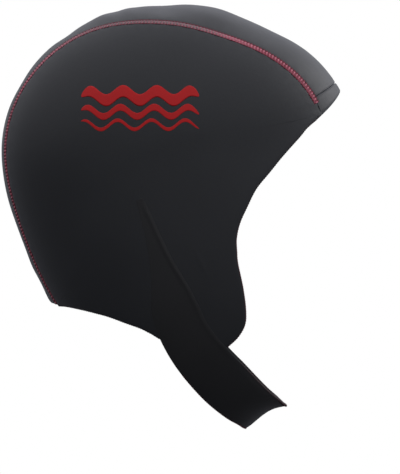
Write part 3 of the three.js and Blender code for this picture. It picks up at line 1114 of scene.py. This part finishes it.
# Threads

seam = {
    "pitch": 2 * mm,
    "stepsPerStitch": 8,
    "halfWidth": 1.25 * mm,
    "coverWide": 0.46 * mm,  # half width of a thread that crosses the seam
    "coverHigh": 0.24 * mm,
    "coverRise": 0.32 * mm,
    "coverSink": 0.35,  # share of the rise by which the winding lies under the cloth's level
    "slant": 0.6 * mm,  # a crossing thread's far end lies this much further along the seam
    "lengthwise": (-1.3 * mm, -0.65 * mm, 0, 0.65 * mm, 1.3 * mm),
    "bedWide": 0.42 * mm,
    "bedHigh": 0.2 * mm,
    "bedDeep": 0.3 * mm,
    "bedWave": 0.06 * mm,
    "bedPhase": 0.2 * mm,  # a lengthwise thread's wave runs ahead by a radian for each of these aside
    "bedEvery": 4,  # and it has a point at every fourth step of the cover threads
    "needleSteps": (0, 1, 3, 6, 7),  # of a stitch, where a needle thread has its points
    "needleOut": 1.98 * mm,
    "needleWide": 0.36 * mm,
    "needleHigh": 0.18 * mm,
    "needleEnd": -0.26 * mm,  # a needle stitch's ends dip into the cloth
    "innerLevel": -2.75 * mm,  # of the threads on the inside of the cap
    "sides": 6,
    "samples": 3000,
    # The bed and needle threads lie low in the seam's valley. Their tones are darker than the cover threads',
    # and that darkness is painted shade.
    "coverTone": 0.9,
    "bedShadedTone": 0.45,
    "needleShadedTone": 0.36,
    "paleTopTone": 1.1,  # what the tone of the cover threads and their bed gains over the top of the head
    "paleTopTowards": (40, 75, 105, 170),  # where it starts, is whole, starts to fade and has gone
}


# Points along the seam between the crown strip and a side panel, at even steps, with the form's
# normal there and the directions along and across the seam
def seamFrame(side):
    toward = np.linspace(threadStart, threadEnd, seam["samples"])
    dense = formPoint(toward, shareAtHalfWidth(toward, crownHalfAt(toward)), side)
    stitches = int(round(lengthAlong(dense)[-1] / seam["pitch"]))
    points = evenly(dense, stitches * seam["stepsPerStitch"] + 1)
    normal = formNormal(points)
    tangent = unit(np.gradient(points, axis=0))
    return stitches, points, normal, tangent, np.cross(normal, tangent)


# Cover threads wind round the seam as a flat, slanted helix. Under them lies a bed of lengthwise
# threads, and a row of needle stitches runs along each side.
def seamThreads(name, side):
    stitches, points, normal, tangent, aside = seamFrame(side)
    sides = seam["sides"]
    every = seam["bedEvery"]
    turn = 2 * np.pi * np.arange(len(points)) / seam["stepsPerStitch"]
    toward = towardOf(points)
    paleTopTowards = seam["paleTopTowards"]
    # The cover threads and their bed are made paler and greyer over the top of the head.
    paleTop = easeBetween(toward, *paleTopTowards[:2]) * (1 - easeBetween(toward, *paleTopTowards[2:]))
    coverTone = seam["coverTone"] + seam["paleTopTone"] * paleTop
    # The bed's tone is darker than the cover's, which is painted shade for threads that lie low in the valley.
    bedShadedTone = seam["bedShadedTone"] + seam["paleTopTone"] * paleTop[::every]
    picked = np.arange(stitches)[:, None] * seam["stepsPerStitch"] + np.array(seam["needleSteps"])
    needleLevel = np.zeros(len(seam["needleSteps"]))
    needleLevel[[0, -1]] = seam["needleEnd"]
    sets = []
    for level, face in ((0, 1), (seam["innerLevel"], -1)):
        slanted = tangent * (seam["slant"] / 2 * np.cos(turn))[:, None]
        across = aside * (seam["halfWidth"] * np.cos(turn))[:, None]
        rise = seam["coverRise"] * (np.sin(turn) - seam["coverSink"])
        cover = points + slanted + across + normal * (level + face * rise)[:, None]
        up = normal * face
        sets.append((cover[None], up[None], seam["coverWide"], seam["coverHigh"], sides, coverTone))
        for place in seam["lengthwise"]:
            low = level - face * seam["bedDeep"]
            wave = seam["bedWave"] * np.sin(turn / 2 + place / seam["bedPhase"])
            bed = (points + aside * (place + wave)[:, None] + normal * low)[::every]
            sets.append((bed[None], up[None, ::every], seam["bedWide"], seam["bedHigh"], sides, bedShadedTone))
        for edge in (-1, 1):
            out = aside[picked] * edge * seam["needleOut"]
            needle = points[picked] + out + up[picked] * (face * level + needleLevel)[:, None]
            size = (seam["needleWide"], seam["needleHigh"])
            sets.append((needle, up[picked], *size, sides, seam["needleShadedTone"]))
    return threadPiece(name, sets)


for name, side in (("seam_thread_right", right), ("seam_thread_left", left)):
    dress(seamThreads(name, side), "seam_thread")
print("seam threads: done")


hem = {
    "pitch": 1.5 * mm,
    "stepsPerTurn": 8,
    "reachIn": 1.1 * mm,  # how far the loops reach in from the edge
    "reachOut": 0.1 * mm,  # and how far they stand out from it
    "proud": 0.05 * mm,  # of both faces
    "halfWidth": 0.27 * mm,
    "halfHeight": 0.12 * mm,
    "sides": 5,
    # The edge loops are of the seams' red thread. Their tones are painted shade: near black at the nape hem
    # and the strap's front edge, and deep red along the flap's front edge and the strap's rear edge.
    "shadedEdgeTone": 0.0,
    "flapTone": 0.34,  # along the front edge of the flap
    "flapUp": (-25 * mm, -65 * mm),  # it starts and is whole at these heights over the ear pole
    "flapFront": (10 * mm, 30 * mm),  # and this far in front of it
    "strapRearTone": 0.3,
    "strapFree": 0.5,  # the strap has loops from where it is this far off the flap, as a share
}


# Loops of thread wound over an edge: in the edge's own section the thread goes round an oval
# that reaches over both faces, and moves on by a pitch each turn.
def overEdge(border, inwards, outerLevel, innerLevel, tone):
    length = lengthAlong(border)
    turns = int(round(length[-1] / hem["pitch"]))
    wanted = np.linspace(0, length[-1], turns * hem["stepsPerTurn"] + 1)
    place = readAlong(wanted, length, border)
    inward = unit(readAlong(wanted, length, inwards))
    up = formNormal(place)
    top, bottom = readAlong(wanted, length, np.stack([outerLevel, innerLevel], -1)).T
    turn = 2 * np.pi * np.arange(len(wanted)) / hem["stepsPerTurn"]
    halfReach = (hem["reachIn"] + hem["reachOut"]) / 2
    depth = halfReach - hem["reachOut"] - halfReach * np.cos(turn)
    height = (top + bottom) / 2 + ((top - bottom) / 2 + hem["proud"]) * np.sin(turn)
    centres = place + inward * depth[:, None] + up * height[:, None]
    outward = up * np.sin(turn)[:, None] - inward * np.cos(turn)[:, None]
    tones = readAlong(wanted, length, tone)[:, 0]
    return centres[None], unit(outward)[None], hem["halfWidth"], hem["halfHeight"], hem["sides"], tones


# Over the free edges of a side panel
def hemThreads(name, side):
    toward, reach, _, _ = panelBorder(side)
    first = panel["seamColumns"] + 1
    border = formPoint(toward, reach, side)[first:]
    inwards = np.cross(formNormal(border), unit(np.gradient(border, axis=0))) * -side
    outer = np.full(len(border), -panel["hemDrop"])
    away = border - head["pole"]
    # Painted shade: the loops are near black, and deep red only along the front edge of the flap.
    onFlap = easeBetween(away[:, 2], *hem["flapUp"]) * easeBetween(away[:, 0], *hem["flapFront"])
    tone = hem["shadedEdgeTone"] + (hem["flapTone"] - hem["shadedEdgeTone"]) * onFlap
    inner = np.full(len(border), -panel["wall"])
    return threadPiece(name, [overEdge(border, inwards, outer, inner, tone)])


for name, side in (("hem_thread_right", right), ("hem_thread_left", left)):
    dress(hemThreads(name, side), "seam_thread")


# Over both edges of the strap, where it is off the flaps
def strapThreads():
    grid, across, sideDistance, cloth = strapGrid()
    outer, inner, onSkin = strapLevels(grid, across, sideDistance, cloth)
    sets = []
    for column, ahead, tone in ((0, 1, hem["strapRearTone"]), (-1, -2, hem["shadedEdgeTone"])):
        free = np.flatnonzero(onSkin[:, column] > hem["strapFree"])
        border = grid[free, column]
        inwards = grid[free, ahead] - border
        tones = np.full(len(free), tone)
        sets.append(overEdge(border, inwards, outer[free, column], inner[free, column], tones))
    return threadPiece("hem_thread_strap", sets)


dress(strapThreads(), "seam_thread")
print("hem threads: done")


# Printed motif: three stacked waves on the right panel, thick to thin

waves = {
    "start": -46 * mm,  # from the ear pole along x
    "length": 69.5 * mm,
    "crests": 3.5,
    "swing": 2.7 * mm,
    # height over the ear pole, and thickness
    "rows": [(31.2 * mm, 7.2 * mm), (21.6 * mm, 4.2 * mm), (14.0 * mm, 2.2 * mm)],
    "phaseStep": 0.5,  # from one wave to the next, in radians
    "film": 0.07 * mm,  # its thickness over the cloth, and at its edges
    "edgeFilm": 0.02 * mm,
    "sunk": 0.1 * mm,  # how far its back lies in the cloth
    "steps": 240,
    "columns": 10,
    "taper": 9 * mm,
    "tip": 0.002,  # share of the taper that is left off, so that a wave's ends have a width
}


# One wave: its middle is a sine in the side view, and its thickness falls to 0 over the taper
# at both ends. The film lies on the panel's own face.
def waveStrip(rise, thickness, phase):
    run = np.linspace(0, waves["length"], waves["steps"] + 1)[:, None]
    across = np.linspace(-1, 1, waves["columns"] + 1)
    ends = np.clip(np.minimum(run, waves["length"] - run) / waves["taper"], waves["tip"], 1)
    body = thickness / 2 * np.sqrt(ends * (2 - ends))
    middle = rise + waves["swing"] * np.sin(2 * np.pi * waves["crests"] * run / waves["length"] + phase)
    x, z = np.broadcast_arrays(waves["start"] + run, middle + body * across)
    toward = np.degrees(np.arctan2(z, x))
    grid = formPoint(toward, np.hypot(x, z) / reachAt(toward), right)
    return grid, np.stack([x, z], -1)


# The waves as one piece, each a film between its top and its back
def printedWaves():
    points = []
    quads = []
    cloth = []
    for k, (rise, thickness) in enumerate(waves["rows"]):
        grid, chart = waveStrip(rise, thickness, waves["phaseStep"] * k)
        rows, columns = grid.shape[:2]
        normal = formNormal(grid)
        base = panelSwell(chart[..., 0], chart[..., 1])
        top = base + np.where(gridBorder(rows, columns), waves["edgeFilm"], waves["film"])
        quads.append(layeredQuads(rows, columns) + len(points) * rows * columns)
        points.append(grid + normal * top[..., None])
        points.append(grid + normal * (base - waves["sunk"])[..., None])
        cloth += [chart, chart]
    return makePiece("wave_print", np.stack(points), np.concatenate(quads), {"cloth": np.stack(cloth)})


dress(printedWaves(), "red_print")
print("print: done")


# Camera, floor and light

studio = {
    "aim": (14.7 * mm, 0, -136.8 * mm),
    "distance": 3.5,
    "viewHeight": 284.4 * mm,
    "sensor": 36,
    "farthest": 100,
    "floorBelow": 2.4,
    "floorHalf": 30,
    "floorGlow": 0.9,
    "skySide": 0.39,  # strength of the sky level with the cap
    "skyRise": 1.1,  # what it gains up to the zenith and loses below
    "skyFront": 0.16,  # and what it gains to the front and loses behind
    "skyLeast": 0.07,
    "skyMost": 1.0,
    "skyTint": (0.965, 0.96, 1.0),
    "browPlace": (1.4, 0.75, 0.7),
    "browAim": (0.05, 0, -0.05),
    "browSize": 0.8,
    "browPower": 7.8,
}

white = (1, 1, 1)


# Places an object so that it looks at its aim
def placeLooking(thing, place, aim):
    thing.location = place
    thing.rotation_mode = "QUATERNION"
    thing.rotation_quaternion = (Vector(aim) - Vector(place)).to_track_quat("-Z", "Y")
    bpy.context.scene.collection.objects.link(thing)


camera = bpy.data.objects.new("camera", bpy.data.cameras.new("camera"))
camera.data.sensor_width = studio["sensor"]
camera.data.lens = studio["sensor"] * studio["distance"] / studio["viewHeight"]
camera.data.clip_end = studio["farthest"]
placeLooking(camera, Vector(studio["aim"]) - Vector((0, studio["distance"], 0)), studio["aim"])
bpy.context.scene.camera = camera

lamp = bpy.data.lights.new("brow_light", "AREA")
lamp.shape = "DISK"
lamp.size = studio["browSize"]
lamp.energy = studio["browPower"]
placeLooking(bpy.data.objects.new("brow_light", lamp), studio["browPlace"], studio["browAim"])

floorMesh = bpy.data.meshes.new("floor")
half = studio["floorHalf"]
corners = [(-half, -half, 0), (half, -half, 0), (half, half, 0), (-half, half, 0)]
floorMesh.from_pydata(corners, [], [(0, 1, 2, 3)])
floor = bpy.data.objects.new("floor", floorMesh)
floor.location = (0, 0, cadBox[0].z - studio["floorBelow"])
floor.visible_diffuse = False  # the cap hangs in the air, so the floor throws no light up at it
floor.visible_glossy = False
bpy.context.scene.collection.objects.link(floor)
paleFloor = {
    "Base Color": colour(white, 0.8),
    "Roughness": 0.9,
    "Emission Color": colour(white),
    "Emission Strength": studio["floorGlow"],
}
floor.data.materials.append(startMaterial("paleFloor", paleFloor)[0])

# The sky gives most of the light. It is dark below and brighter higher up, and the camera sees it
# white.
world = bpy.data.worlds.new("studio")
world.use_nodes = True
sky = Wire(world.node_tree)
world.node_tree.nodes.clear()
direction = sky.node("ShaderNodeTexCoord", output=0)
rise = sky.node("ShaderNodeSeparateXYZ", inputs={"Vector": direction}, output=2)
ahead = sky.node("ShaderNodeSeparateXYZ", inputs={"Vector": direction}, output=0)
strength = rise * studio["skyRise"] + ahead * studio["skyFront"] + studio["skySide"]
strength = sky.math("MINIMUM", sky.math("MAXIMUM", strength, studio["skyLeast"]), studio["skyMost"])
lit = sky.node("ShaderNodeBackground", inputs={"Color": colour(studio["skyTint"]), "Strength": strength})
seen = sky.node("ShaderNodeBackground", inputs={"Color": colour(white), "Strength": 1.0})
cameraRay = sky.node("ShaderNodeLightPath", output=0)
shown = sky.node("ShaderNodeMixShader", inputs={0: cameraRay, 1: lit, 2: seen})
surface = world.node_tree.nodes.new("ShaderNodeOutputWorld").inputs["Surface"]
world.node_tree.links.new(shown.socket, surface)
bpy.context.scene.world = world
bpy.context.scene.view_settings.view_transform = "Standard"
print("studio: done")
